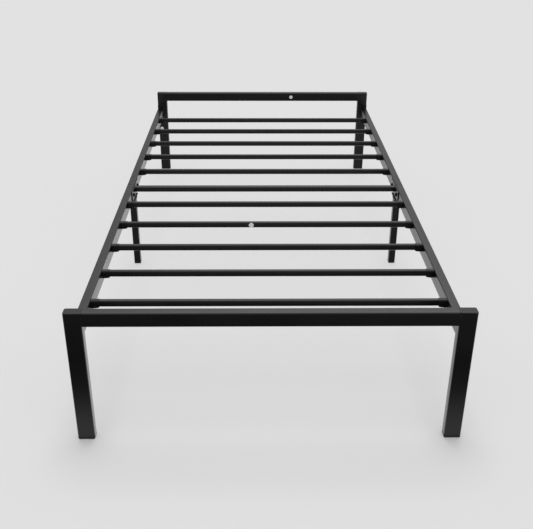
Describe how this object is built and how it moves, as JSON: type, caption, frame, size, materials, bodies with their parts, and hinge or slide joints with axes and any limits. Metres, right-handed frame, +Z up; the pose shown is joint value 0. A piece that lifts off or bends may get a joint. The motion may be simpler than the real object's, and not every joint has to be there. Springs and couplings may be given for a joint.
{
  "type": "metal bed frame",
  "caption": "Low metal platform bed frame: tube legs and raised end bars, split side rails, cross slats in end sockets, and a leg-supported middle crossbar.",
  "frame": {"origin": "on the floor under the centre of the bed", "axes": "+Y towards the head end, +Z up, +X to the right of someone who stands at the foot end and looks at the head end"},
  "size_m": [0.99, 1.98, 0.38],
  "materials": {
    "coat": "satin black powder coat",
    "plastic": "fine matte black",
    "fastener": "black oxide, slightly oiled"
  },
  "bodies": {
    "root": {"foot_bar": "coat", "foot_leg_left": "coat", "foot_leg_cap_left": "plastic", "foot_leg_glide_left": "plastic", "foot_leg_right": "coat", "foot_leg_cap_right": "plastic", "foot_leg_glide_right": "plastic", "head_bar": "coat", "head_leg_left": "coat", "head_leg_cap_left": "plastic", "head_leg_glide_left": "plastic", "head_leg_right": "coat", "head_leg_cap_right": "plastic", "head_leg_glide_right": "plastic", "rail_foot_left": "coat", "rail_foot_right": "coat", "rail_head_left": "coat", "rail_head_right": "coat", "corner_bolt_foot_left": "fastener", "corner_bolt_foot_right": "fastener", "corner_bolt_head_left": "fastener", "corner_bolt_head_right": "fastener", "slat_foot_1": "coat", "slat_socket_foot_1_left": "plastic", "slat_socket_foot_1_right": "plastic", "slat_foot_2": "coat", "slat_socket_foot_2_left": "plastic", "slat_socket_foot_2_right": "plastic", "slat_foot_3": "coat", "slat_socket_foot_3_left": "plastic", "slat_socket_foot_3_right": "plastic", "slat_foot_4": "coat", "slat_socket_foot_4_left": "plastic", "slat_socket_foot_4_right": "plastic", "slat_foot_5": "coat", "slat_socket_foot_5_left": "plastic", "slat_socket_foot_5_right": "plastic", "slat_head_1": "coat", "slat_socket_head_1_left": "plastic", "slat_socket_head_1_right": "plastic", "slat_head_2": "coat", "slat_socket_head_2_left": "plastic", "slat_socket_head_2_right": "plastic", "slat_head_3": "coat", "slat_socket_head_3_left": "plastic", "slat_socket_head_3_right": "plastic", "slat_head_4": "coat", "slat_socket_head_4_left": "plastic", "slat_socket_head_4_right": "plastic", "slat_head_5": "coat", "slat_socket_head_5_left": "plastic", "slat_socket_head_5_right": "plastic", "mid_crossbar": "coat", "joint_plate_left": "coat", "mid_leg_left": "coat", "mid_leg_glide_left": "plastic", "joint_plate_right": "coat", "mid_leg_right": "coat", "mid_leg_glide_right": "plastic"}
  },
  "joints": []
}
